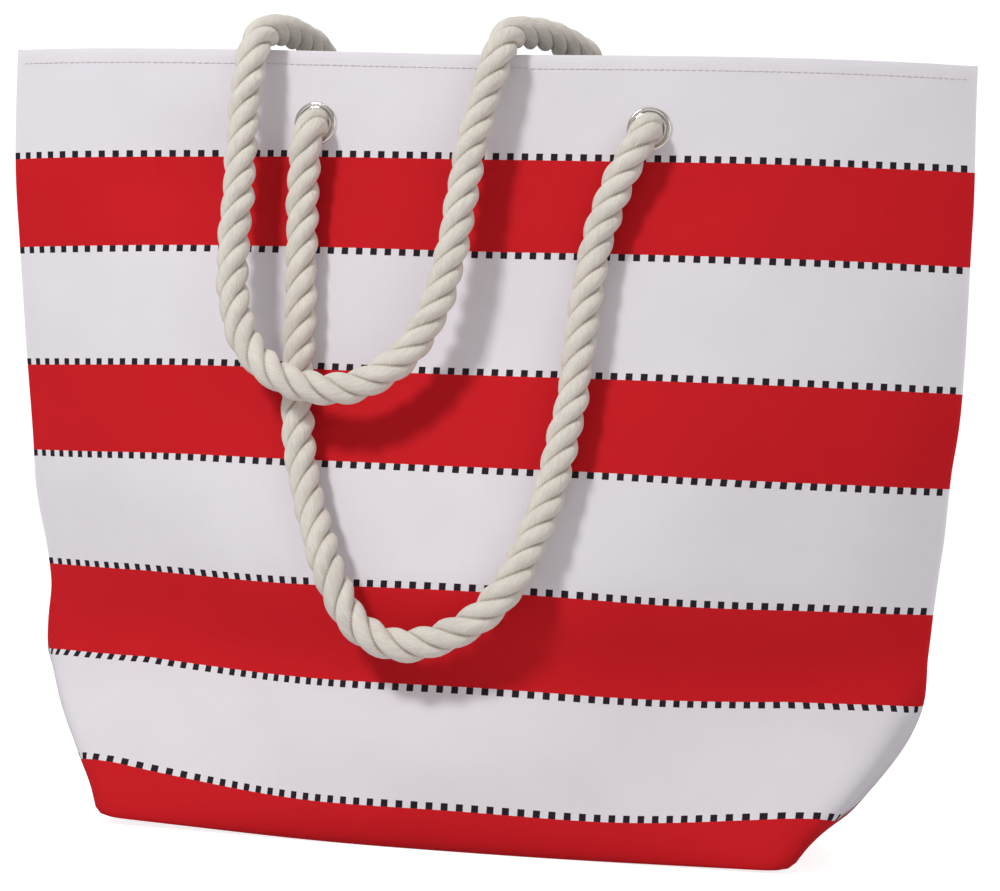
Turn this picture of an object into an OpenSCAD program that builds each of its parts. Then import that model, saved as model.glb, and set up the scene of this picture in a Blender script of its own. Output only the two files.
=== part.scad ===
// Beach tote with a boxed base: a printed outer cloth in three panels, a lining, a rim
// facing with four eyelets, and two rope handles that end in stopper knots inside.
// Origin: middle of the base, on the ground. The front faces -Y, X runs across it.
// All sizes are in millimetres.

/* [Bag] */
// Width of one cloth face laid flat, from side seam to side seam
cloth_w = 500; // [480:2:520]
// Height of the rim above the ground
bag_h = 390; // [386:1:410]
// Radius of the fold between the walls and the base
fold_r = 12; // [8:1:14]
// Thickness of the printed cloth
cloth_t = 1.2; // [0.8:0.1:1.4]
// Thickness of the lining
lining_t = 0.6; // [0.4:0.1:0.8]
// Thickness of the facing inside the rim
facing_t = 1; // [0.6:0.1:1.2]
// Depth of the facing below the rim
facing_h = 60; // [56:1:70]
// Distance of the topstitching below the rim
stitch_drop = 7; // [5:0.5:9]

/* [Eyelets] */
// Distance of each eyelet from the middle of the bag
eyelet_x = 85; // [84:0.5:86]
// Distance of the eyelet centres below the rim
eyelet_drop = 36; // [35:0.5:37]
// Inner radius of the barrel
eyelet_r = 7.2; // [7.1:0.1:7.4]
// Outer radius of the flange and of the washer
flange_r = 11.3; // [10.5:0.1:12]
// Height of the rolled flange
flange_h = 1.6; // [1:0.1:1.8]

/* [Handles] */
// Radius of the rope where it hangs free
rope_r = 7.8; // [7:0.1:7.9]
// Radius of the rope squeezed into an eyelet
neck_r = 6.9; // [6:0.1:6.9]
// Radius of a stopper knot
knot_r = 17; // [14:0.5:18]
// Length of a stopper knot along its eyelet
knot_l = 23; // [20:0.5:23.5]

/* [Hidden] */

white = [0.87, 0.85, 0.87];
red = [0.8, 0.12, 0.15];
cream = [0.9, 0.87, 0.8];
nickel = [0.75, 0.75, 0.77];

layer_gap = 0.3;
seam_gap = 0.1;
columns = 20;
column_w = cloth_w / 2 / columns;
facing_low = bag_h - facing_h;
lining_top = facing_low - 1;

// How far the cloth turns away from straight across, in degrees, at each height:
// spread evenly towards the side seam, taken up in the rounded belly, and folded
// round the boxed corner.
side_turn = [[0, 0], [50, 4], [120, 14], [180, 29], [235, 32], [300, 26], [325, 22]];
belly_turn = [[0, 3], [50, 9], [120, 18], [180, 6], [235, 0]];
corner_turn = [[0, 84], [20, 72], [40, 56], [60, 36], [80, 18], [120, 3], [180, 0]];
belly_end = 0.45;
corner_start = 0.6;
corner_end = 0.82;
wall_z = [18, 26, 38, 54, 70, 90, 120, 150, 185, 225, 265, 300, 325];

function ease(x) = let (c = min(max(x, 0), 1)) c * c * (3 - 2 * c);

// Direction of the cloth at share s of the way from the middle to the side seam.
function heading(s, z) =
    lookup(z, side_turn) * s * s
    + lookup(z, belly_turn) * ease(s / belly_end)
    + lookup(z, corner_turn) * ease((s - corner_start) / (corner_end - corner_start));

// Running distances across and towards the seam plane, one value for each column.
function across(z) =
    [for (i = 0, x = 0; i <= columns; x = x + column_w * cos(heading((i + 0.5) / columns, z)), i = i + 1) x];
function inward(z) =
    [for (i = 0, y = 0; i <= columns; y = y + column_w * sin(heading((i + 0.5) / columns, z)), i = i + 1) y];

// Points of the front face from the left seam to the right seam, at height z and at
// the depth inset below its outer surface.
function cloth_row(z, inset) =
    let (x = across(z), y = inward(z))
    [for (i = [-columns : columns])
        let (k = abs(i), side = sign(i), turn = heading(k / columns, z), at_seam = (k == columns))
        [
            side * (x[k] - (at_seam ? inset / sin(turn) : inset * sin(turn))),
            y[k] - y[columns] - seam_gap + (at_seam ? 0 : inset * cos(turn)),
            z
        ]
    ];

// Depth of the outer cloth in front of the seam plane, at distance x from the middle.
function face_y(x, z) =
    let (row = cloth_row(z, 0))
    lookup(x, [for (i = [columns : 2 * columns]) [row[i].x, -row[i].y]]);

// Rows of one surface of the cloth, from the base to height top: the fold, then the wall.
function cloth_rows(inset, top) = concat(
    [for (turn = [90, 60, 30])
        cloth_row(fold_r - (fold_r - inset) * sin(turn), fold_r - (fold_r - inset) * cos(turn))],
    [for (z = wall_z) if (z < top) cloth_row(z, inset)],
    [cloth_row(top, inset)]
);

// A sheet between two surfaces that have the same number of rows.
module sheet(outer, inner) {
    n = 2 * columns + 1;
    rows = len(outer);
    shift = n * rows;
    cells = [for (r = [0 : rows - 2]) for (i = [0 : n - 2]) r * n + i];
    top = (rows - 1) * n;
    polyhedron(
        points = [for (row = concat(outer, inner)) for (p = row) p],
        faces = concat(
            [for (c = cells) [c, c + n, c + n + 1, c + 1]],
            [for (c = cells) [c + shift, c + shift + 1, c + shift + n + 1, c + shift + n]],
            [for (i = [0 : n - 2]) [i, i + 1, i + 1 + shift, i + shift]],
            [for (i = [0 : n - 2]) [top + i, top + i + shift, top + i + 1 + shift, top + i + 1]],
            [for (r = [0 : rows - 2]) [r * n, r * n + shift, r * n + n + shift, r * n + n]],
            [for (r = [0 : rows - 2])
                [r * n + n - 1, r * n + 2 * n - 1, r * n + 2 * n - 1 + shift, r * n + n - 1 + shift]]
        ),
        convexity = 6
    );
}

module to_back() {
    rotate([0, 0, 180]) children();
}

// ---- Cloth ----

hole_r = eyelet_r + 1;

module eyelet_holes() {
    for (x = [-eyelet_x, eyelet_x]) {
        translate([x, 0, bag_h - eyelet_drop]) rotate([90, 0, 0]) cylinder(r = hole_r, h = cloth_w, $fn = 48);
    }
}

module outer_panel() {
    difference() {
        sheet(cloth_rows(0, bag_h), cloth_rows(cloth_t, bag_h));
        eyelet_holes();
    }
}

module lining_panel() {
    depth = cloth_t + layer_gap;
    sheet(cloth_rows(depth, lining_top), cloth_rows(depth + lining_t, lining_top));
}

module facing_band() {
    depth = cloth_t + layer_gap;
    low = facing_low;
    top = bag_h - layer_gap;
    difference() {
        sheet([cloth_row(low, depth), cloth_row(top, depth)],
            [cloth_row(low, depth + facing_t), cloth_row(top, depth + facing_t)]);
        eyelet_holes();
    }
}

// Flat plate inside the fold, in both halves.
module base_plate(low, thickness) {
    front = cloth_row(0, fold_r + layer_gap);
    outline = concat(
        [for (p = front) [p.x, p.y]],
        [for (p = front) [-p.x, -p.y]]
    );
    translate([0, 0, low]) linear_extrude(thickness) polygon(outline);
}

module topstitch_line() {
    thread_h = 0.8;
    low = bag_h - stitch_drop - thread_h / 2;
    sheet([cloth_row(low, -0.6), cloth_row(low + thread_h, -0.6)],
        [cloth_row(low, -0.1), cloth_row(low + thread_h, -0.1)]);
}

module front_panel() {
    color(white) outer_panel();
}

module back_panel() {
    color(white) to_back() outer_panel();
}

module base_panel() {
    color(red) base_plate(0, cloth_t);
}

module front_lining() {
    color(white) lining_panel();
}

module back_lining() {
    color(white) to_back() lining_panel();
}

module base_lining() {
    color(white) base_plate(cloth_t + layer_gap, lining_t);
}

module front_facing() {
    color(white) facing_band();
}

module back_facing() {
    color(white) to_back() facing_band();
}

module front_topstitch() {
    color(white) topstitch_line();
}

module back_topstitch() {
    color(white) to_back() topstitch_line();
}

// ---- Eyelets ----
// Each is drawn with its axis along Z: z = 0 on the outer surface of the cloth, +Z outwards.

barrel_wall = 0.7;
flange_lift = 0.5;
stack_t = cloth_t + layer_gap + facing_t;
washer_t = 0.8;
washer_top = -stack_t - layer_gap;
barrel_end = washer_top - washer_t - 0.3;
face_at_eyelet = face_y(eyelet_x, bag_h);
turn_at_eyelet = heading(eyelet_x / (cloth_w / 2), bag_h);

module at_eyelet(x, y_sign) {
    translate([x, y_sign * face_at_eyelet, bag_h - eyelet_drop])
        rotate([0, 0, -y_sign * sign(x) * turn_at_eyelet]) rotate([-90 * y_sign, 0, 0]) children();
}

module eyelet() {
    outer_r = eyelet_r + barrel_wall;
    rotate_extrude($fn = 64) polygon([
        [eyelet_r, barrel_end],
        [outer_r, barrel_end],
        [outer_r, flange_lift],
        [flange_r, flange_lift],
        [flange_r, flange_lift + flange_h * 0.4],
        [flange_r - 1.2, flange_lift + flange_h],
        [eyelet_r + 0.9, flange_lift + flange_h],
        [eyelet_r, flange_lift + flange_h * 0.4]
    ]);
}

module washer() {
    bore_r = eyelet_r + barrel_wall + 0.15;
    translate([0, 0, washer_top - washer_t]) difference() {
        cylinder(r = flange_r, h = washer_t, $fn = 64);
        translate([0, 0, -1]) cylinder(r = bore_r, h = washer_t + 2, $fn = 64);
    }
}

// ---- Rope handles ----

// Length of rope that shows outside the cloth before a front handle starts to swing
pivot_out = 11;
knot_start = barrel_end - 0.4;
tail_r = 7.2;
tail_l = 34;

// Stopper knot behind an eyelet, with the neck of rope that fills the eyelet.
module knot(neck_out, hang) {
    shoulder = knot_r * 0.72;
    rotate_extrude($fn = 48) polygon([
        [0, neck_out],
        [neck_r, neck_out],
        [neck_r, knot_start],
        [shoulder, knot_start],
        [knot_r, knot_start - 6],
        [knot_r, knot_start - knot_l + 6],
        [shoulder, knot_start - knot_l],
        [0, knot_start - knot_l]
    ]);
    translate([0, 0, knot_start - knot_l / 2]) rotate([hang, 0, 0])
        cylinder(r = tail_r, h = tail_l, $fn = 32);
}

function unit(v) = v / norm(v);
function route_heading(route, i) = unit(route[min(i + 1, len(route) - 1)] - route[max(i - 1, 0)]);

// One ring of points around the rope: side_ref is a direction that the rope never takes.
function ring(centre, along, radius, side_ref) =
    let (a = unit(cross(along, side_ref)), b = cross(along, a))
    [for (k = [0 : 7]) centre + radius * (cos(45 * k) * a + sin(45 * k) * b)];

// Rings along a stretch of a route. Each end stops clear of the next stretch by end_gap,
// or is a dome around the last point.
function tube_rings(route, first, last, side_ref, domed) =
    let (end_gap = 0.2, head = route_heading(route, first), foot = route_heading(route, last))
    concat(
        domed ? [for (a = [75, 50, 25]) ring(route[first] - rope_r * sin(a) * head, head, rope_r * cos(a), side_ref)] : [],
        [for (i = [first : last])
            let (t = route_heading(route, i), nudge = domed ? 0 : (i == first ? end_gap : (i == last ? -end_gap : 0)))
            ring(route[i] + nudge * t, t, rope_r, side_ref)],
        domed ? [for (a = [25, 50, 75]) ring(route[last] + rope_r * sin(a) * foot, foot, rope_r * cos(a), side_ref)] : []
    );

module tube(rings) {
    m = len(rings);
    polyhedron(
        points = [for (r = rings) for (p = r) p],
        faces = concat(
            [for (i = [0 : m - 2]) for (k = [0 : 7])
                [i * 8 + k, i * 8 + (k + 1) % 8, (i + 1) * 8 + (k + 1) % 8, (i + 1) * 8 + k]],
            [[for (k = [7 : -1 : 0]) k]],
            [[for (k = [0 : 7]) (m - 1) * 8 + k]]
        ),
        convexity = 8
    );
}

// The front handle hangs from its two eyelets in one loop.
front_route = [
    [-85, -41.5, 354], [-86.5, -42, 334], [-86, -44, 310], [-84.5, -47, 286], [-83, -50, 262],
    [-81.5, -54, 238], [-80, -59, 214], [-76, -65, 192], [-70, -71, 172], [-61, -80, 150],
    [-51, -89, 130], [-42, -91, 113], [-32, -92, 103], [-19, -92, 98], [-4, -92, 99],
    [12, -92, 105], [27, -92, 116], [38, -91, 131], [45, -83, 150], [50.5, -74, 171],
    [54.5, -67, 195], [57.5, -60, 218], [59, -55, 243], [60.5, -51, 267], [63, -48, 288],
    [67, -45, 308], [73.5, -43, 328], [81, -42, 344], [85, -41.5, 354]
];

// The back handle rises behind the bag, crosses the mouth and hangs in front of it.
back_left_end = [
    [-85, 34, 354], [-85, 37.5, 354], [-85, 42, 356], [-85.5, 44.5, 360], [-88, 46.5, 366],
    [-92, 46.5, 376], [-97, 43.2, 388.2]
];
back_left_arch = [
    [-99.5, 38, 396], [-101, 30.2, 401.2], [-102.5, 21, 403.6], [-106.5, 0, 405.4],
    [-111, -21, 403.6], [-113, -30.2, 401.2]
];
back_loop = [
    [-114.5, -38, 396], [-115.5, -43.2, 388.2], [-116.5, -45, 379], [-117.5, -47, 360],
    [-117.5, -50, 336], [-116.5, -55, 311], [-115.5, -61, 286], [-112, -67, 261],
    [-104, -72, 241], [-92, -76, 228], [-78, -78, 221], [-62, -78, 218], [-44.5, -76, 221],
    [-29.5, -73, 230], [-18, -70, 244], [-9.5, -67, 263], [-5, -62, 287], [-2.5, -57, 312],
    [0, -52, 338], [4, -48, 361], [8, -45, 379], [10, -43.2, 388.2], [12, -38, 396]
];
back_right_arch = [
    [14, -30.2, 401.2], [17.5, -21, 403.6], [27.5, 0, 405.4], [37, 21, 403.6], [41, 30.2, 401.2],
    [44, 38, 396]
];
back_right_end = [
    [49.5, 43.2, 388.2], [56.5, 46.3, 379.5], [64, 47.2, 372], [72, 47, 366.5],
    [79, 45.5, 361.5], [83.5, 42, 357], [85, 37.5, 354], [85, 34, 354]
];
back_route = concat(back_left_end, back_left_arch, back_loop, back_right_arch, back_right_end);
rise_left = len(back_left_end);
drop_left = rise_left + len(back_left_arch);
drop_right = drop_left + len(back_loop) - 1;
rise_right = drop_right + len(back_right_arch);
last_point = len(back_route) - 1;

module handle_front() {
    color(cream) tube(tube_rings(front_route, 0, len(front_route) - 1, [0, 1, 0], true));
}

module handle_back() {
    color(cream) tube(tube_rings(back_route, drop_left, drop_right, [0, 1, 0], false));
}

module handle_back_arch_left() {
    color(cream) tube(tube_rings(back_route, rise_left, drop_left, [0, 0, 1], false));
}

module handle_back_arch_right() {
    color(cream) tube(tube_rings(back_route, drop_right, rise_right, [0, 0, 1], false));
}

module handle_back_end_left() {
    color(cream) tube(tube_rings(back_route, 0, rise_left, [1, 0, 0], false));
}

module handle_back_end_right() {
    color(cream) tube(tube_rings(back_route, rise_right, last_point, [0.8, 0, 0.6], false));
}

front_neck_out = pivot_out - rope_r - layer_gap;
back_neck_out = 34 - face_at_eyelet;

module eyelet_set(x, y_sign) {
    color(nickel) at_eyelet(x, y_sign) eyelet();
}

module washer_set(x, y_sign) {
    color(nickel) at_eyelet(x, y_sign) washer();
}

module knot_set(x, y_sign, neck_out) {
    color(cream) at_eyelet(x, y_sign) knot(neck_out, -90 * y_sign);
}

front_panel();
back_panel();
base_panel();
front_lining();
back_lining();
base_lining();
front_facing();
back_facing();
front_topstitch();
back_topstitch();
eyelet_set(-eyelet_x, -1);  // eyelet_front_left
eyelet_set(eyelet_x, -1);  // eyelet_front_right
eyelet_set(-eyelet_x, 1);  // eyelet_back_left
eyelet_set(eyelet_x, 1);  // eyelet_back_right
washer_set(-eyelet_x, -1);  // washer_front_left
washer_set(eyelet_x, -1);  // washer_front_right
washer_set(-eyelet_x, 1);  // washer_back_left
washer_set(eyelet_x, 1);  // washer_back_right
handle_front();
handle_back();
handle_back_arch_left();
handle_back_arch_right();
handle_back_end_left();
handle_back_end_right();
knot_set(-eyelet_x, -1, front_neck_out);  // knot_front_left
knot_set(eyelet_x, -1, front_neck_out);  // knot_front_right
knot_set(-eyelet_x, 1, back_neck_out);  // knot_back_left
knot_set(eyelet_x, 1, back_neck_out);  // knot_back_right
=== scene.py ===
"""Looks of the striped beach tote: printed cloth, rope handles, eyelets and stitching, built
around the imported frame. Lengths are in metres, the front faces -Y and the bag stands on z = 0."""

import math
import random

import bpy
import numpy as np
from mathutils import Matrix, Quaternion, Vector


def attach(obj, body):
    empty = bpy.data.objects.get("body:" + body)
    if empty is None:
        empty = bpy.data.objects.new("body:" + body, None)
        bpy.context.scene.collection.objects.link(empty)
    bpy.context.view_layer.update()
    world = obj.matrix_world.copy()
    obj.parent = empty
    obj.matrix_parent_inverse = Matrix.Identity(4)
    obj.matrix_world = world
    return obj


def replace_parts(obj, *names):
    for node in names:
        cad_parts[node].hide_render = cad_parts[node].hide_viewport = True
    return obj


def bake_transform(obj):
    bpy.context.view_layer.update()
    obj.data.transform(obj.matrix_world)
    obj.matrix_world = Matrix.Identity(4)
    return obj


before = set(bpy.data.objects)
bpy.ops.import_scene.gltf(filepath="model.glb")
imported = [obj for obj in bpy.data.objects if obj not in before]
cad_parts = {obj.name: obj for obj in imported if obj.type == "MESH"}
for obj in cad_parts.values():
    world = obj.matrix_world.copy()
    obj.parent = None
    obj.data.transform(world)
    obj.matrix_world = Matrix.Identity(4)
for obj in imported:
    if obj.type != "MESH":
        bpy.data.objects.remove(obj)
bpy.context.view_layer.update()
scene = bpy.context.scene
MM = 0.001


# ---- Camera ----
# A long lens a little to the right of the bag and low down, held slightly rolled.

camera_turn = 0.1936
camera_pitch = -0.021
camera_roll = 0.0461
camera_reach = 1.2385
camera_aim = Vector((0.0115, 0, 0.196))

camera_back = Vector((
    math.sin(camera_turn) * math.cos(camera_pitch),
    -math.cos(camera_turn) * math.cos(camera_pitch),
    math.sin(camera_pitch),
))
camera_data = bpy.data.cameras.new("camera")
camera_data.sensor_width = 36
camera_data.lens = 87.6
camera = bpy.data.objects.new("camera", camera_data)
scene.collection.objects.link(camera)
camera.rotation_mode = "QUATERNION"
camera.rotation_quaternion = (-camera_back).to_track_quat("-Z", "Y") @ Quaternion((0, 0, 1), camera_roll)
camera.location = camera_aim + camera_back * camera_reach
scene.camera = camera


# ---- Rope handles ----
# Each handle is one length of 16 mm three-strand twisted cotton rope. Both ends pass inwards
# through an eyelet and are knotted inside the bag. The front handle hangs straight down the
# front; the back one has been thrown over the rim and hangs in front of the other.

rope_lay = 0.039
strand_r = 0.0051
strand_out = 0.0030
groove_depth = 0.0008
ring_points = 72
ring_step = 0.0012

front_eyelet_in = [
    [-85, -10, 354], [-85, -24, 354], [-85, -33, 353.6], [-85.1, -39.5, 350.6], [-85.7, -42.4, 344],
]
front_eyelet_out = [
    [81, -42.2, 344], [84.4, -39.5, 350.6], [85, -33, 353.6], [85, -24, 354], [85, -10, 354],
]
front_route = front_eyelet_in + [
    [-86.5, -42, 334], [-86, -44, 310], [-84.5, -47, 286], [-83, -50, 262], [-81.5, -54, 238],
    [-80, -59, 214], [-76, -65, 192], [-70, -71, 172], [-61, -80, 150], [-51, -89, 130],
    [-42, -91, 113], [-32, -92, 103], [-19, -92, 98], [-4, -92, 99], [12, -92, 105],
    [27, -92, 116], [38, -91, 131], [45, -83, 150], [50.5, -74, 171], [54.5, -67, 195],
    [57.5, -60, 218], [59, -55, 243], [60.5, -51, 267], [63, -48, 288], [67, -45, 308],
    [73.5, -43, 328],
] + front_eyelet_out
back_left_end = [
    [-85, 10, 354], [-85, 34, 354], [-85, 37.5, 354], [-85, 42, 356], [-85.5, 44.5, 360],
    [-88, 46.5, 366], [-92, 46.5, 376], [-97, 43.2, 388.2],
]
back_left_arch = [
    [-99.5, 38, 396], [-101, 30.2, 401.2], [-102.5, 21, 403.6], [-106.5, 0, 405.4],
    [-111, -21, 403.6], [-113, -30.2, 401.2],
]
back_loop = [
    [-114.5, -38, 396], [-115.5, -43.2, 388.2], [-116.5, -45, 379], [-117.5, -47, 360],
    [-117.5, -50, 336], [-116.5, -55, 311], [-115.5, -61, 286], [-112, -67, 261],
    [-104, -72, 241], [-92, -76, 228], [-78, -78, 221], [-62, -78, 218], [-44.5, -76, 221],
    [-29.5, -73, 230], [-18, -70, 244], [-9.5, -67, 263], [-5, -62, 287], [-2.5, -57, 312],
    [0, -52, 338], [4, -48, 361], [8, -45, 379], [10, -43.2, 388.2], [12, -38, 396],
]
back_right_arch = [
    [14, -30.2, 401.2], [17.5, -21, 403.6], [27.5, 0, 405.4], [37, 21, 403.6], [41, 30.2, 401.2],
    [44, 38, 396],
]
back_right_end = [
    [49.5, 43.2, 388.2], [56.5, 46.3, 379.5], [64, 47.2, 372], [72, 47, 366.5],
    [79, 45.5, 361.5], [83.5, 42, 357], [85, 37.5, 354], [85, 34, 354], [85, 10, 354],
]
back_route = back_left_end + back_left_arch + back_loop + back_right_arch + back_right_end


def smooth_route(points_mm, step):
    """Evenly spaced points along a smooth curve through the given points."""
    p = np.array(points_mm, float) * MM
    p = np.vstack([2 * p[0] - p[1], p, 2 * p[-1] - p[-2]])
    curve = []
    for a, b, c, d in zip(p[:-3], p[1:-2], p[2:-1], p[3:]):
        t0 = math.sqrt(np.linalg.norm(b - a))
        t1 = math.sqrt(np.linalg.norm(c - b))
        t2 = math.sqrt(np.linalg.norm(d - c))
        slope_b = t1 * ((b - a) / t0 - (c - a) / (t0 + t1) + (c - b) / t1)
        slope_c = t1 * ((c - b) / t1 - (d - b) / (t1 + t2) + (d - c) / t2)
        for t in np.linspace(0, 1, 20, endpoint=False):
            curve.append(
                (2 * t**3 - 3 * t**2 + 1) * b + (t**3 - 2 * t**2 + t) * slope_b
                + (3 * t**2 - 2 * t**3) * c + (t**3 - t**2) * slope_c
            )
    curve = np.array(curve + [p[-2]])
    for _ in range(12):
        curve[1:-1] = (curve[:-2] + 2 * curve[1:-1] + curve[2:]) / 4
    run = np.concatenate([[0], np.cumsum(np.linalg.norm(np.diff(curve, axis=0), axis=1))])
    even = np.linspace(0, run[-1], int(round(run[-1] / step)) + 1)
    return np.stack([np.interp(even, run, curve[:, k]) for k in range(3)], axis=1)


def carried_frames(path):
    """Two directions square to the path at each point, turned as little as possible on the way."""
    along = np.gradient(path, axis=0)
    along /= np.linalg.norm(along, axis=1)[:, None]
    side = np.cross(along[0], [0.3, 0.2, 1])
    sides = []
    for t in along:
        side = side - t * np.dot(side, t)
        side /= np.linalg.norm(side)
        sides.append(side)
    sides = np.array(sides)
    return along, sides, np.cross(along, sides)


def rope_surface(path, seed, thickness=1.0):
    """Rings of points of three strands twisted round the path, where each point lies along the
    fibres, and how near it is to the crest of its strand."""
    dice = random.Random(seed)
    along, side, up = carried_frames(path)
    run = np.concatenate([[0], np.cumsum(np.linalg.norm(np.diff(path, axis=0), axis=1))])
    theta = np.linspace(0, 2 * math.pi, ring_points, endpoint=False)
    wave = [(dice.uniform(25, 90), dice.uniform(0, 6.28), dice.uniform(0.3, 1)) for _ in range(6)]
    slack = sum(a * np.sin(k * run + p) for k, p, a in wave) / 4
    twist = 2 * math.pi * run / rope_lay + 0.12 * slack
    local = theta[None, :] - twist[:, None]
    third = 2 * math.pi / 3
    strand = np.floor(np.mod(local, 2 * math.pi) / third)
    off = np.mod(local, third) - third / 2
    radius = strand_out * np.cos(off) + np.sqrt(strand_r**2 - (strand_out * np.sin(off)) ** 2)
    radius -= groove_depth * np.exp(-(((third / 2 - np.abs(off)) / 0.15) ** 2))
    plump = np.zeros_like(radius)
    for k in range(3):
        phase = dice.uniform(0, 6.28)
        puff = 0.035 * np.sin(41 * run + phase) + 0.025 * np.sin(97 * run + 2 * phase)
        plump += np.where(strand == k, puff[:, None], 0)
    radius = radius * (1 + plump * np.cos(1.5 * off) ** 2) * thickness
    yarns = 0.00012 * np.sin(33 * theta[None, :] + 60 * run[:, None]) * np.cos(1.5 * off)
    radius = radius + yarns
    cos, sin = np.cos(theta)[None, :], np.sin(theta)[None, :]
    outwards = cos[..., None] * side[:, None, :] + sin[..., None] * up[:, None, :]
    ring = path[:, None, :] + radius[..., None] * outwards
    fibre = np.stack(np.broadcast_arrays(cos, sin, run[:, None] * 100), axis=2)
    return ring, fibre, np.cos(1.5 * off)


def carry(mesh, name, kind, field, values):
    """Gives every point of the mesh a named value for its material."""
    flat = np.asarray(values, np.float32).reshape(-1)
    mesh.attributes.new(name, kind, "POINT").data.foreach_set(field, flat)


def smooth_object(name, mesh, material):
    mesh.shade_smooth()
    mesh.materials.append(material)
    obj = bpy.data.objects.new(name, mesh)
    scene.collection.objects.link(obj)
    return obj


def tube_mesh(name, ring, fibre, crest, material, capped=False):
    """One skin through the rings, closed all round, carrying its fibre and crest values."""
    rows, around = ring.shape[:2]
    at = np.arange(rows * around).reshape(rows, around)
    nxt = np.roll(at, -1, axis=1)
    quads = np.stack([at[:-1], nxt[:-1], nxt[1:], at[1:]], axis=2).reshape(-1, 4)
    faces = quads.tolist()
    if capped:
        faces.append(at[0][::-1].tolist())
        faces.append(at[-1].tolist())
    mesh = bpy.data.meshes.new(name)
    mesh.from_pydata(ring.reshape(-1, 3).tolist(), [], faces)
    carry(mesh, "fibre", "FLOAT_VECTOR", "vector", fibre)
    carry(mesh, "crest", "FLOAT", "value", crest)
    return smooth_object(name, mesh, material)


def new_material(name):
    material = bpy.data.materials.new(name)
    material.use_nodes = True
    tree = material.node_tree
    return material, tree, tree.nodes["Principled BSDF"]


def node(tree, kind, inputs=None, **settings):
    made = tree.nodes.new(kind)
    for key, value in settings.items():
        setattr(made, key, value)
    for key, value in (inputs or {}).items():
        if isinstance(value, bpy.types.NodeSocket):
            tree.links.new(value, made.inputs[key])
        else:
            made.inputs[key].default_value = value
    return made


def attribute(tree, name, output):
    return node(tree, "ShaderNodeAttribute", attribute_name=name).outputs[output]


def noise(tree, at, scale, detail, roughness=0.5):
    settings = {"Vector": at, "Scale": scale, "Detail": detail, "Roughness": roughness}
    return node(tree, "ShaderNodeTexNoise", settings).outputs["Fac"]


def spread(tree, value, from_min, from_max, to_min, to_max):
    limits = {"From Min": from_min, "From Max": from_max, "To Min": to_min, "To Max": to_max}
    return node(tree, "ShaderNodeMapRange", {"Value": value, **limits}).outputs["Result"]


def mixed(tree, factor, a, b):
    inputs = {"Factor": factor, "A": a, "B": b}
    return node(tree, "ShaderNodeMix", inputs, data_type="RGBA").outputs["Result"]


def scaled(tree, colour, by):
    return node(tree, "ShaderNodeVectorMath", {0: colour, "Scale": by}, operation="SCALE").outputs["Vector"]


def bumped(tree, height, strength, distance):
    settings = {"Height": height, "Strength": strength, "Distance": distance}
    return node(tree, "ShaderNodeBump", settings).outputs["Normal"]


def soft_cotton_rope():
    """Cream cotton: long fine yarns, fluff, and painted shade, darker and browner, down in the grooves
    between the strands.
    """
    material, tree, shader = new_material("cotton_rope")
    fibre = attribute(tree, "fibre", "Vector")
    lengthways = {"Vector": fibre, "Scale": (14, 14, 0.8)}
    yarn = noise(tree, node(tree, "ShaderNodeMapping", lengthways).outputs["Vector"], 1.6, 4, 0.6)
    # Painted shade: the cream turns dark brown towards the grooves between the strands, where the crest
    # value is low.
    groove = spread(tree, attribute(tree, "crest", "Fac"), 0.02, 0.3, 0, 1)
    painted_groove_shade = mixed(tree, groove, (0.50, 0.40, 0.29, 1), (0.90, 0.84, 0.75, 1))
    streak = spread(tree, yarn, 0.3, 0.7, 0.84, 1.08)
    patchy = spread(tree, noise(tree, fibre, 0.5, 2), 0.3, 0.7, 0.95, 1.04)
    tone = node(tree, "ShaderNodeMath", {0: streak, 1: patchy}, operation="MULTIPLY").outputs["Value"]
    tree.links.new(scaled(tree, painted_groove_shade, tone), shader.inputs["Base Color"])
    tree.links.new(bumped(tree, yarn, 0.8, 0.001), shader.inputs["Normal"])
    shader.inputs["Roughness"].default_value = 0.92
    shader.inputs["Sheen Weight"].default_value = 0.25
    shader.inputs["Sheen Roughness"].default_value = 0.6
    shader.inputs["Specular IOR Level"].default_value = 0.2
    return material


rope_cotton = soft_cotton_rope()


def lay_rope(name, surface, first, last):
    """One stretch of a laid rope."""
    ring, fibre, crest = surface
    rope = tube_mesh(name, ring[first:last + 1], fibre[first:last + 1], crest[first:last + 1], rope_cotton)
    return rope


front_path = smooth_route(front_route, ring_step)
front_rope = lay_rope("front_rope_handle", rope_surface(front_path, 11), 0, len(front_path) - 1)
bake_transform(front_rope)
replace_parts(front_rope, "handle_front")

back_path = smooth_route(back_route, ring_step)
back_surface = rope_surface(back_path, 12)
middle_y = [i for i in range(1, len(back_path)) if (back_path[i - 1][1] > 0) != (back_path[i][1] > 0)]
over_left, over_right = middle_y[0], middle_y[-1]

back_rise_left = lay_rope("back_rope_rise_left", back_surface, 0, over_left)
back_rise_right = lay_rope("back_rope_rise_right", back_surface, over_right, len(back_path) - 1)
for rise in (back_rise_left, back_rise_right):
    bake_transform(rise)
back_rope = lay_rope("back_rope_handle", back_surface, over_left, over_right)
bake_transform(back_rope)
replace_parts(back_rise_left, "handle_back_end_left", "handle_back_arch_left")
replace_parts(back_rise_right, "handle_back_end_right", "handle_back_arch_right")
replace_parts(back_rope, "handle_back")


# ---- Stopper knots ----
# Behind each eyelet the rope is pulled tight in an overhand knot, with a short cut tail.

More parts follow.
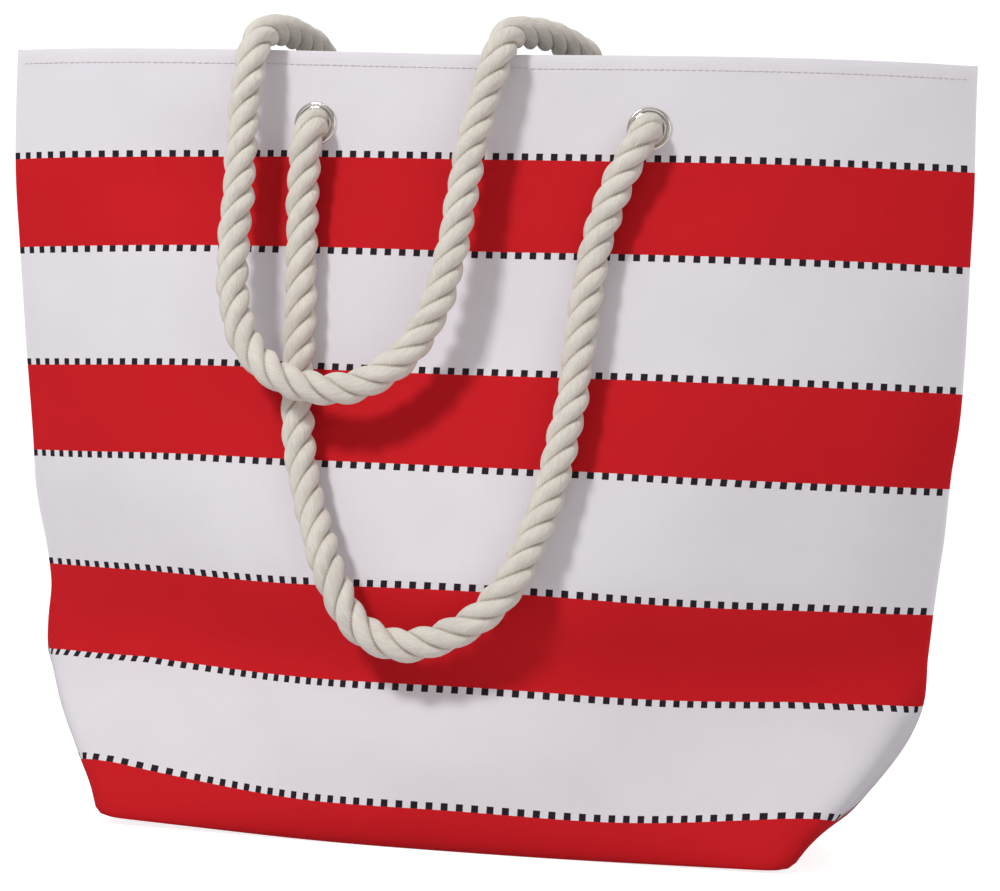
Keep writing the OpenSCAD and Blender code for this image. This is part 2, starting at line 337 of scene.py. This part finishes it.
knot_route = [
    [0, 0, -4], [0, 0, -1], [0, 1, 7], [-3, 4, 14], [-9.5, 3, 16.5], [-12, -3, 12],
    [-9.5, -9, 7.5], [-2, -12, 6.5], [6.5, -10.5, 6.5], [11.5, -4, 6.5], [11, 5, 7.5],
    [4, 11.5, 9.5], [-4, 11, 12.5], [-8, 6, 15], [-5, 0.5, 19], [1, -5, 18.5],
    [3, -12, 16.5], [3.5, -20, 15.5], [4, -34, 15],
]
eyelet_x = 85
eyelet_z = 354
eyelet_places = (
    ("front_left", -eyelet_x, -1), ("front_right", eyelet_x, -1),
    ("back_left", -eyelet_x, 1), ("back_right", eyelet_x, 1),
)


def knot_at(x, y_side):
    """Turns the knot's own points so that it sits inside the cloth behind one eyelet."""
    inward = -y_side
    return [[x + p[0] * inward, y_side * (26 - p[2]), eyelet_z + p[1]] for p in knot_route]


for place, x, y_side in eyelet_places:
    knot_path = smooth_route(knot_at(x, y_side), ring_step)
    ring, fibre, crest = rope_surface(knot_path, 20 + len(place), thickness=0.82)
    knot = tube_mesh("knot_" + place + "_rope", ring, fibre, crest, rope_cotton, capped=True)
    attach(knot, "bag")
    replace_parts(knot, "knot_" + place)


# ---- Printed cloth ----
# The bag is cut from one smooth, firm plain-woven cloth, screen-printed with wide red bands
# edged in small black squares, and sewn up with a side seam and a boxed base. Every level row
# of it keeps its cut width as it curves round the belly and the boxed corners.

cloth_w = 500
bag_h = 390
cloth_t = 1.2
hole_r = 9
columns = 100
wall_step = 4.0
fold_top = 26

side_turn = ((0, 0), (50, 4), (120, 14), (180, 29), (235, 32), (300, 26), (325, 22))
belly_turn = ((0, 5), (50, 16), (120, 18), (180, 6), (235, 0))
fold_turn = ((0, 80), (40, 66), (70, 40), (90, 14), (110, 0))
belly_end = 0.45
crease_low = 0.70
crease_top_z = 88
crease_w = 0.06


def eased(table, z):
    """A table's value at height z, rounded off at its knots."""
    heights, values = zip(*table)
    spread = (-14, -9, -4.5, 0, 4.5, 9, 14)
    return float(np.mean([np.interp(z + d, heights, values) for d in spread]))


def ease(x):
    """Rises smoothly from 0 to 1 as x does, so ease((x - start) / length) is full at start + length."""
    c = np.clip(x, 0, 1)
    return c * c * (3 - 2 * c)


def crease_at(z):
    """Share of the half width at which the boxed corner folds back: it slants out to the seam."""
    return crease_low + (1 - crease_low) * z / crease_top_z


def row_shape(z):
    """Across, depth and heading of the front cloth at height z, from the middle to the seam."""
    width = cloth_w / 2 / columns
    s_mid = (np.arange(columns) + 0.5) / columns
    s_all = np.arange(columns + 1) / columns

    def heading(s):
        return np.radians(
            eased(side_turn, z) * s * s
            + eased(belly_turn, z) * ease(s / belly_end)
            + eased(fold_turn, z) * ease((s - crease_at(z)) / (2 * crease_w) + 0.5)
        )

    turn = heading(s_mid)
    across = np.concatenate([[0], np.cumsum(width * np.cos(turn))])
    inward = np.concatenate([[0], np.cumsum(width * np.sin(turn))])
    return across, inward - inward[-1], heading(s_all)


def fold_radius(s):
    """Radius of the fold between wall and base, in mm: tight at the corners."""
    return 4 + 9 * (1 - np.clip(s / 0.7, 0, 1) ** 2)


def dents(u, z):
    """Soft hand-sized unevenness of the cloth, in mm outwards, fading to the rim and the seams."""
    calm = ease((384 - z) / 60) * ease((250 - np.abs(u)) / 70) * ease((z + 5) / 45)
    swell = (
        1.1 * np.sin(u / 61 + 0.8) * np.sin(z / 47 + 0.4)
        + 0.7 * np.sin(u / 33 - z / 71 + 2.1)
        + 0.45 * np.sin(u / 19 + z / 38 + 0.7) * np.sin(z / 29)
        + 0.3 * np.sin(z / 17 + u / 90)
    )
    return swell * calm


# How far each side seam stands out, in mm, at heights from the ground up.
left_crease = (
    (0, 2.5), (15, 3.8), (30, 4.8), (46, 5.4), (62, 3.2), (80, -1.6), (100, -1.4), (120, 0.3), (140, 0),
)
right_crease = (
    (0, 1), (8, 2.5), (17, 6), (33, 7.5), (49, 6), (64, 2), (79, -1.4), (94, -1.4), (110, 2),
    (130, 4), (155, 3.5), (190, 0),
)


def smooth_table(table, z):
    """A table's values at many heights at once, rounded off at its knots."""
    heights, values = zip(*table)
    return sum(np.interp(z + d, heights, values) for d in (-6, -3, 0, 3, 6)) / 5


# How far the standing bag departs from its plain form, in mm: its rim reaches out, its lower
# part is drawn in, its short ends are hollow at the ground, and parts of it stand higher.
rim_reach_left = 13
rim_reach_right = 4
draw_left = 9
tuck_left = 3
draw_right = 5.5
end_hollow = 12
foot_left = 3.5
foot_right = 1.5
knee_left = 11.5
knee_right = 7.0
base_rise = 3
rim_rise_left = 5.5
rim_rise_right = 2.5
waist_rise = 3


def settle(points):
    """How the sewn bag stands: its rim pulled out to the left, its lower part drawn in, the boxed
    corners creased out to the seams, and the base corners standing off the ground."""
    x = points[..., 0]
    y = points[..., 1]
    z = points[..., 2]
    leftwards = ease((-x - 15) / 120)
    reach_left = rim_reach_left * ease((-x - 110) / 130) * ease((z - 150) / 240)
    reach_right = rim_reach_right * ease((x - 150) / 90) * ease((z - 200) / 190)
    drawn_left = draw_left * leftwards * (1 - ease((z - 100) / 70))
    tucked_left = tuck_left * leftwards * (1 - ease((-x - 120) / 100)) * (1 - ease((z - 80) / 60))
    drawn_right = draw_right * ease((x - 60) / 100) * (1 - ease((z - 130) / 90))
    crease_left = ease((-x - 130) / 60) * smooth_table(left_crease, z)
    crease_right = ease((x - 140) / 60) * smooth_table(right_crease, z)
    near_end = ease((np.abs(x) - 150) / 25)
    hollow_end = end_hollow * near_end * (1 - np.clip(y / 68, -1, 1) ** 2) * (1 - ease(z / 14))
    corner = np.clip(np.abs(x) / 170, 0, 1) ** 2
    foot = np.where(x < 0, foot_left, foot_right)
    knee = np.where(x < 0, knee_left, knee_right)
    low = corner * (foot + (knee - foot) * ease((z + 2) / 16)) * (1 - ease((z - 10) / 150))
    middle = base_rise * (1 - corner) * ease(z / 10) * (1 - ease((z - 20) / 50))
    rim_left = rim_rise_left * ease((z - 352) / 38)
    rim_right = rim_rise_right * ease((z - 90) / 50)
    rim = np.where(x < 0, rim_left, rim_right) * (np.abs(x) / 240) ** 1.5
    waist = waist_rise * ease((-x - 20) / 200) * ease((z - 70) / 40) * (1 - ease((z - 150) / 100))
    settled = points.copy()
    settled[..., 0] += drawn_left + tucked_left - crease_left - reach_left
    settled[..., 0] += crease_right - drawn_right - reach_right
    settled[..., 0] -= np.sign(x) * hollow_end
    settled[..., 2] += low + middle + rim + waist
    return settled


def level_rows(top, bottom):
    count = int(round((top - bottom) / wall_step))
    return list(np.linspace(top, bottom, count + 1))


def cloth_surface(depth, top, bottom=None):
    """Grid of points, from the top row down, of the cloth at that depth below its outer face.
    Without a bottom, it goes on round the fold to the base."""
    share = np.abs(np.arange(-columns, columns + 1)) / columns
    u = np.arange(-columns, columns + 1) * cloth_w / 2 / columns
    rows = []

    def lay_row(z_shape, z_real, inset):
        across, back, turn = row_shape(z_shape)
        side = np.sign(u)
        k = np.abs(np.arange(-columns, columns + 1))
        out = dents(u, z_real) - inset
        x = side * (across[k] + out * np.sin(turn[k]))
        y = back[k] - out * np.cos(turn[k])
        y = np.minimum(y, -0.1)
        rows.append(np.stack([x, y, z_real], axis=1))

    ends_level = bottom is not None
    for z in level_rows(top, bottom if ends_level else fold_top):
        lay_row(z, np.full_like(u, z), depth)
    if not ends_level:
        radius = fold_radius(share)
        straight = fold_top - radius
        arc = (radius - depth) * math.pi / 2
        for q in np.linspace(0, 1, 13)[1:]:
            d = q * (straight + arc)
            bend = np.clip((d - straight) / np.maximum(radius - depth, 1), 0, math.pi / 2)
            z = np.where(d < straight, fold_top - d, radius - (radius - depth) * np.sin(bend))
            inset = np.where(d < straight, depth, radius - (radius - depth) * np.cos(bend))
            lay_row(fold_top * (1 - q), z, inset)
    return np.array(rows), u


def run_down(grid):
    """Distance down the cloth from the top row, for every point of the grid."""
    steps = np.linalg.norm(np.diff(grid, axis=0), axis=2)
    return np.vstack([np.zeros(grid.shape[1]), np.cumsum(steps, axis=0)])


def skin_faces(at):
    return np.stack([at[:-1, :-1], at[1:, :-1], at[1:, 1:], at[:-1, 1:]], axis=2).reshape(-1, 4)


def cloth_shell(name, outer, inner, u, v, material, turned=False, hole_z=None):
    """A closed sheet between two grids: rounded over the top, with the cloth's own measures on it."""
    rows, cols = outer.shape[:2]
    mid = (outer[0] + inner[0]) / 2
    crown = [mid * 0.5 + outer[0] * 0.5, mid, mid * 0.5 + inner[0] * 0.5]
    lift = (0.35, 0.5, 0.35)
    tops = [c + np.array([0, 0, h]) for c, h in zip(crown, lift)]
    grid = np.concatenate([outer[::-1], np.array(tops), inner])
    v_all = np.concatenate([v[::-1], np.zeros((3, cols)), v])
    u_all = np.broadcast_to(u, v_all.shape)
    at = np.arange(grid.shape[0] * cols).reshape(grid.shape[0], cols)
    faces = skin_faces(at)[:, ::-1].tolist()
    for edge in (0, cols - 1):
        for r in range(rows - 1):
            o0, o1 = at[rows - 1 - r, edge], at[rows - 2 - r, edge]
            i0, i1 = at[rows + 3 + r, edge], at[rows + 4 + r, edge]
            quad = [o0, o1, i1, i0]
            faces.append(quad if edge == 0 else quad[::-1])
        tip = [at[r, edge] for r in range(rows - 1, rows + 4)]
        faces.append(tip if edge == 0 else tip[::-1])
    for c in range(cols - 1):
        faces.append([at[0, c], at[0, c + 1], at[-1, c + 1], at[-1, c]])
    points = grid.reshape(-1, 3).copy()
    if hole_z is not None:
        for hole_x in (-eyelet_x, eyelet_x):
            from_hole = points[:, [0, 2]] - np.array([hole_x, hole_z])
            away = np.linalg.norm(from_hole, axis=1)
            near = abs(away - hole_r) < 1.6
            points[near, 0] = hole_x + from_hole[near, 0] / away[near] * hole_r
            points[near, 2] = hole_z + from_hole[near, 1] / away[near] * hole_r
        middle = np.array([points[f].mean(axis=0) for f in faces])
        inside = np.zeros(len(faces), bool)
        for hole_x in (-eyelet_x, eyelet_x):
            inside |= np.hypot(middle[:, 0] - hole_x, middle[:, 2] - hole_z) < hole_r - 0.2
        faces = [f for f, gone in zip(faces, inside) if not gone]
    if turned:
        points[:, :2] *= -1
    points = settle(points)
    mesh = bpy.data.meshes.new(name)
    mesh.from_pydata((points * MM).tolist(), [], [[int(i) for i in f] for f in faces])
    carry(mesh, "cut", "FLOAT_VECTOR", "vector", np.stack([u_all, v_all, np.zeros_like(v_all)], axis=2))
    mesh.validate()
    obj = smooth_object(name, mesh, material)
    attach(obj, "bag")
    return obj


def maths(tree, operation, a, b=None):
    inputs = {0: a}
    if b is not None:
        inputs[1] = b
    return node(tree, "ShaderNodeMath", inputs, operation=operation).outputs["Value"]


def woven_bump(tree, u, v, strength):
    """Fine plain weave: threads 0.45 mm apart both ways, with slightly uneven yarns."""
    warp = maths(tree, "SINE", maths(tree, "MULTIPLY", u, 2 * math.pi / 0.45))
    weft = maths(tree, "SINE", maths(tree, "MULTIPLY", v, 2 * math.pi / 0.45))
    weave = maths(tree, "MULTIPLY", warp, weft)
    cut = node(tree, "ShaderNodeCombineXYZ", {"X": u, "Y": v}).outputs["Vector"]
    slub = noise(tree, cut, 0.35, 5, 0.65)
    height = maths(tree, "ADD", maths(tree, "MULTIPLY", weave, 0.35), slub)
    return bumped(tree, height, strength, 0.0006)


first_band = 52.3
band_period = 109.3
band_h = 46.8
square_h = 3.4
square_pitch = cloth_w / 68
square_share = 0.46
white_cloth = (0.80, 0.765, 0.805, 1)
red_ink = (0.60, 0.010, 0.016, 1)
black_ink = (0.022, 0.014, 0.02, 1)


def printed_cloth():
    """White cloth printed with red bands; small black squares stand along every band's edge."""
    material, tree, shader = new_material("printed_cloth")
    cut = attribute(tree, "cut", "Vector")
    split = node(tree, "ShaderNodeSeparateXYZ", {"Vector": cut})
    u, v = split.outputs["X"], split.outputs["Y"]
    below_first = maths(tree, "SUBTRACT", v, first_band)
    down = maths(tree, "FRACT", maths(tree, "DIVIDE", below_first, band_period))
    past_band = maths(tree, "SUBTRACT", down, band_h / band_period)
    red = maths(tree, "LESS_THAN", down, band_h / band_period)
    above = maths(tree, "GREATER_THAN", down, 1 - square_h / band_period)
    below = maths(tree, "LESS_THAN", past_band, square_h / band_period)
    below_only = maths(tree, "MULTIPLY", below, maths(tree, "SUBTRACT", 1.0, red))
    edge = maths(tree, "ADD", above, below_only)
    across = maths(tree, "FRACT", maths(tree, "ADD", maths(tree, "DIVIDE", u, square_pitch), 100.0))
    square = maths(tree, "MULTIPLY", maths(tree, "LESS_THAN", across, square_share), edge)
    shade = spread(tree, noise(tree, cut, 0.018, 3), 0.3, 0.7, 0.97, 1.02)
    inked = mixed(tree, red, white_cloth, red_ink)
    marked = mixed(tree, square, inked, black_ink)
    tree.links.new(scaled(tree, marked, shade), shader.inputs["Base Color"])
    tree.links.new(woven_bump(tree, u, v, 0.12), shader.inputs["Normal"])
    shader.inputs["Roughness"].default_value = 0.8
    shader.inputs["Specular IOR Level"].default_value = 0.12
    return material


print_cloth = printed_cloth()
outer_grid, cut_u = cloth_surface(0, bag_h - 0.5)
inner_grid, _ = cloth_surface(cloth_t, bag_h - 0.5)
cut_v = run_down(outer_grid)
for place, turned in (("front", False), ("back", True)):
    panel = cloth_shell(
        place + "_cloth", outer_grid, inner_grid, cut_u, cut_v, print_cloth, turned, hole_z=eyelet_z,
    )
    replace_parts(panel, place + "_panel")


# ---- Base ----
# The boxed base is the red end of the print, folded under and sewn across at both short ends.

def base_plate(name, low, thickness, edge, material):
    """Flat grid inside the fold, from the front fold's edge to the back's."""
    front = edge[np.abs(cut_u) <= 186]
    xs = np.linspace(front[0][0], front[-1][0], 61)
    half = np.interp(xs, front[:, 0], -front[:, 1])
    across = np.linspace(-1, 1, 25)
    top = np.array([[[x, h * t, low + thickness] for x, h in zip(xs, half)] for t in across])
    bottom = top - np.array([0, 0, thickness])
    rows, cols = top.shape[:2]
    at = np.arange(rows * cols).reshape(rows, cols)
    faces = skin_faces(at)[:, ::-1].tolist() + (skin_faces(at) + rows * cols).tolist()
    rim = list(at[0]) + list(at[1:, -1]) + list(at[-1, -2::-1]) + list(at[-2:0:-1, 0])
    for a, b in zip(rim, rim[1:] + rim[:1]):
        faces.append([int(a), int(a + rows * cols), int(b + rows * cols), int(b)])
    points = np.concatenate([top, bottom]).reshape(-1, 3)
    mesh = bpy.data.meshes.new(name)
    mesh.from_pydata((settle(points) * MM).tolist(), [], [[int(i) for i in f] for f in faces])
    in_last_band = np.full(len(points), 385.0)
    measures = np.stack([points[:, 0], in_last_band, points[:, 1]], axis=1)
    carry(mesh, "cut", "FLOAT_VECTOR", "vector", measures)
    obj = smooth_object(name, mesh, material)
    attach(obj, "bag")
    return obj


base_cloth = base_plate("base_cloth", 0, cloth_t, outer_grid[-1], print_cloth)
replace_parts(base_cloth, "base_panel")


# ---- Lining and facing ----
# Inside hangs a thin off-white lining. A doubled band of the outer cloth faces the inside of
# the rim and carries the eyelets.

lining_t = 0.6
layer_gap = 0.3
facing_t = 1.0
facing_low = 330
lining_top = 329


def plain_cloth(name, colour, bump):
    material, tree, shader = new_material(name)
    cut = attribute(tree, "cut", "Vector")
    split = node(tree, "ShaderNodeSeparateXYZ", {"Vector": cut})
    shade = spread(tree, noise(tree, cut, 0.03, 4), 0.3, 0.7, 0.94, 1.03)
    tree.links.new(scaled(tree, colour, shade), shader.inputs["Base Color"])
    weave = woven_bump(tree, split.outputs["X"], split.outputs["Y"], bump)
    tree.links.new(weave, shader.inputs["Normal"])
    shader.inputs["Roughness"].default_value = 0.9
    shader.inputs["Specular IOR Level"].default_value = 0.2
    return material


lining_cloth = plain_cloth("lining_cloth", (0.74, 0.73, 0.70), 0.3)
facing_cloth = plain_cloth("facing_cloth", (0.78, 0.75, 0.78), 0.15)

lining_outer, _ = cloth_surface(cloth_t + layer_gap, lining_top)
lining_inner, _ = cloth_surface(cloth_t + layer_gap + lining_t, lining_top)
lining_v = run_down(lining_outer)
facing_outer, _ = cloth_surface(cloth_t + layer_gap, bag_h - 1.0, facing_low)
facing_inner, _ = cloth_surface(cloth_t + layer_gap + facing_t, bag_h - 1.0, facing_low)
facing_v = run_down(facing_outer)
for place, turned in (("front", False), ("back", True)):
    lining = cloth_shell(
        place + "_lining_cloth", lining_outer, lining_inner, cut_u, lining_v, lining_cloth, turned,
    )
    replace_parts(lining, place + "_lining")
    facing = cloth_shell(
        place + "_facing_band", facing_outer, facing_inner, cut_u, facing_v, facing_cloth, turned,
        hole_z=eyelet_z,
    )
    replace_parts(facing, place + "_facing")

base_lining = base_plate("base_lining_cloth", cloth_t + layer_gap, lining_t, outer_grid[-1], lining_cloth)
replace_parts(base_lining, "base_lining")


# ---- Topstitching ----
# One row of white spun thread holds the rim's facing, 7 mm below the edge. Each stitch shows
# as a small sunk bead 2.5 mm long.

stitch_drop = 7
stitch_pitch = 3.2
stitch_l = 2.5
thread_r = 0.42


def white_thread():
    material, tree, shader = new_material("thread")
    place = node(tree, "ShaderNodeTexCoord").outputs["Object"]
    twist = node(
        tree, "ShaderNodeTexWave", {"Vector": place, "Scale": 900.0, "Distortion": 1.0},
        wave_type="BANDS", bands_direction="DIAGONAL",
    ).outputs["Fac"]
    shade = spread(tree, twist, 0, 1, 0.86, 1.0)
    tree.links.new(scaled(tree, (0.80, 0.72, 0.77), shade), shader.inputs["Base Color"])
    shader.inputs["Roughness"].default_value = 0.6
    shader.inputs["Sheen Weight"].default_value = 0.2
    return material


thread_white = white_thread()


def stitch_row(name, turned):
    across, back, turn = row_shape(bag_h - stitch_drop)
    s_mm = np.arange(columns + 1) * cloth_w / 2 / columns
    count = int((cloth_w - 8) / stitch_pitch)
    points, faces = [], []
    rings = ((-0.5, 0.15), (-0.36, 0.8), (0, 1.0), (0.36, 0.8), (0.5, 0.15))
    for n in range(count):
        u = (n - (count - 1) / 2) * stitch_pitch
        side = 1 if u >= 0 else -1
        x = side * np.interp(abs(u), s_mm, across)
        y = np.interp(abs(u), s_mm, back)
        head = side * np.interp(abs(u), s_mm, turn)
        first = len(points)
        for share, fat in rings:
            for k in range(6):
                a = k * math.pi / 3
                out = thread_r * (fat * math.cos(a) + 0.35)
                up = thread_r * fat * math.sin(a) + 0.18 * share
                points.append([
                    x + share * stitch_l * math.cos(head) + out * math.sin(head),
                    y + share * stitch_l * math.sin(head) - out * math.cos(head),
                    bag_h - stitch_drop + up,
                ])
        for r in range(len(rings) - 1):
            for k in range(6):
                a, b = first + r * 6 + k, first + r * 6 + (k + 1) % 6
                faces.append([a, b, b + 6, a + 6])
        faces.append([first + k for k in range(5, -1, -1)])
        faces.append([first + 6 * (len(rings) - 1) + k for k in range(6)])
    points = np.array(points)
    if turned:
        points[:, :2] *= -1
    mesh = bpy.data.meshes.new(name)
    mesh.from_pydata((settle(points) * MM).tolist(), [], faces)
    obj = smooth_object(name, mesh, thread_white)
    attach(obj, "bag")
    return obj


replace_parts(stitch_row("front_stitches", False), "front_topstitch")
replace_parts(stitch_row("back_stitches", True), "back_topstitch")


# ---- Eyelets ----
# Pressed nickel-plated eyelets: a domed flange with a thin raised lip outside, a barrel through
# the cloth, and a flat washer that the barrel is rolled over inside.

eyelet_profile = [
    (7.2, -4.2), (7.25, -1.0), (7.3, 0.8), (7.45, 1.6), (7.75, 2.05), (8.1, 2.1), (8.4, 1.85),
    (8.6, 1.45), (8.9, 1.3), (9.4, 1.5), (10.0, 1.7), (10.6, 1.55), (11.1, 1.05), (11.35, 0.45),
    (11.3, 0.05), (11.0, 0.0), (8.0, 0.1), (7.9, -4.2),
]
washer_profile = [
    (7.5, -2.9), (7.6, -3.7), (8.2, -4.1), (9.2, -3.9), (10.6, -3.75), (11.2, -3.4), (11.3, -2.9),
    (9, -2.85),
]
# Where the tarnish and painted shade lie: a narrow ring in the groove between the lip and the flange.
groove_r = 8.7
groove_w = 0.35


def polished_nickel():
    material, tree, shader = new_material("nickel")
    place = node(tree, "ShaderNodeTexCoord").outputs["Object"]
    smear = noise(tree, place, 180.0, 3)
    tree.links.new(spread(tree, smear, 0.3, 0.7, 0.1, 0.22), shader.inputs["Roughness"])
    tone = spread(tree, smear, 0.3, 0.7, 0.95, 1.03)
    # Tarnish and painted shade: the groove between the lip and the flange is coloured dark brown.
    painted_shade_and_tarnish = attribute(tree, "tarnish_and_shade", "Fac")
    metal = mixed(tree, painted_shade_and_tarnish, (0.90, 0.87, 0.82, 1), (0.34, 0.30, 0.24, 1))
    tree.links.new(scaled(tree, metal, tone), shader.inputs["Base Color"])
    scuff = noise(tree, place, 900.0, 2)
    tree.links.new(bumped(tree, scuff, 0.05, 0.0002), shader.inputs["Normal"])
    shader.inputs["Metallic"].default_value = 1.0
    return material


nickel = polished_nickel()


def turned_ring(name, profile, x, y_side):
    """The profile turned round the eyelet's axis and set square to the cloth."""
    across, back, turn = row_shape(eyelet_z)
    s_mm = np.arange(columns + 1) * cloth_w / 2 / columns
    reach = np.interp(abs(x), across, s_mm)
    face_y = np.interp(reach, s_mm, back)
    lean = math.copysign(1, x) * np.interp(reach, s_mm, turn)
    rounds = 64
    points = []
    # How far each point lies in the ring of tarnish and painted shade.
    tarnish_and_shade = []
    for r, h in profile:
        for k in range(rounds):
            a = 2 * math.pi * k / rounds
            px = r * math.cos(a)
            tarnish_and_shade.append(math.exp(-(((r - groove_r) / groove_w) ** 2)))
            points.append([
                x + px * math.cos(lean) + h * math.sin(lean),
                face_y + px * math.sin(lean) - h * math.cos(lean),
                eyelet_z + r * math.sin(a),
            ])
    m = len(profile)
    faces = []
    for i in range(m):
        for k in range(rounds):
            a, b = i * rounds + k, i * rounds + (k + 1) % rounds
            c, d = ((i + 1) % m) * rounds + (k + 1) % rounds, ((i + 1) % m) * rounds + k
            faces.append([a, d, c, b])
    points = np.array(points)
    if y_side > 0:
        points[:, 1] *= -1
        faces = [f[::-1] for f in faces]
    mesh = bpy.data.meshes.new(name)
    mesh.from_pydata((points * MM).tolist(), [], faces)
    carry(mesh, "tarnish_and_shade", "FLOAT", "value", tarnish_and_shade)
    obj = smooth_object(name, mesh, nickel)
    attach(obj, "bag")
    return obj


for place, x, y_side in eyelet_places:
    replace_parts(turned_ring("eyelet_" + place + "_pressed", eyelet_profile, x, y_side), "eyelet_" + place)
    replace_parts(turned_ring("washer_" + place + "_pressed", washer_profile, x, y_side), "washer_" + place)


# ---- Studio ----
# A pale floor that sweeps up into a pale wall all round, a main light from the upper left in
# front, and three wide ones that fill the shadows.

def studio_bowl():
    rounds = 96
    profile = [(0.0, 0.0), (0.6, 0.0), (1.4, 0.0), (2.6, 0.0)]
    sweep = np.linspace(0.1, math.pi / 2, 14)
    profile += [(2.6 + 1.6 * math.sin(a), 1.6 - 1.6 * math.cos(a)) for a in sweep]
    profile += [(4.2, 2.4), (4.2, 3.6)]
    turns = [2 * math.pi * k / rounds for k in range(rounds)]
    points = [[r * math.cos(a), r * math.sin(a), z] for r, z in profile[1:] for a in turns]
    points.append([0, 0, 0])
    faces = [[len(points) - 1, k, (k + 1) % rounds] for k in range(rounds)]
    for i in range(len(profile) - 2):
        for k in range(rounds):
            a, b = i * rounds + k, i * rounds + (k + 1) % rounds
            faces.append([a, a + rounds, b + rounds, b])
    mesh = bpy.data.meshes.new("studio_floor")
    mesh.from_pydata(points, [], faces)
    material, tree, shader = new_material("studio_paper")
    shader.inputs["Base Color"].default_value = (0.68, 0.68, 0.69, 1)
    shader.inputs["Roughness"].default_value = 0.9
    shader.inputs["Specular IOR Level"].default_value = 0.1
    shader.inputs["Emission Color"].default_value = (1, 1, 1, 1)
    seen = node(tree, "ShaderNodeLightPath").outputs["Is Camera Ray"]
    tree.links.new(spread(tree, seen, 0, 1, 0.04, 0.85), shader.inputs["Emission Strength"])
    return smooth_object("studio_floor", mesh, material)


studio_bowl()


def soft_light(name, place, aim, size, power, colour=(1, 1, 1)):
    data = bpy.data.lights.new(name, "AREA")
    data.shape = "DISK"
    data.size = size
    data.energy = power
    data.color = colour
    light = bpy.data.objects.new(name, data)
    light.location = place
    light.rotation_mode = "QUATERNION"
    light.rotation_quaternion = (Vector(aim) - Vector(place)).to_track_quat("-Z", "Y")
    scene.collection.objects.link(light)


soft_light("key", (-0.9, -1.7, 1.7), (0, 0, 0.22), 0.45, 30)
soft_light("fill_right", (1.6, -1.9, 0.9), (0, 0, 0.2), 1.6, 6.5)
soft_light("top", (0.2, 0.4, 2.2), (0, 0, 0.2), 1.8, 8)
soft_light("behind", (0.6, 2.0, 1.4), (0, 0, 0.2), 1.6, 10)

world = bpy.data.worlds.new("studio_air")
world.use_nodes = True
world.node_tree.nodes["Background"].inputs["Color"].default_value = (1, 1, 1, 1)
world.node_tree.nodes["Background"].inputs["Strength"].default_value = 0.33
scene.world = world
scene.view_settings.view_transform = "Standard"
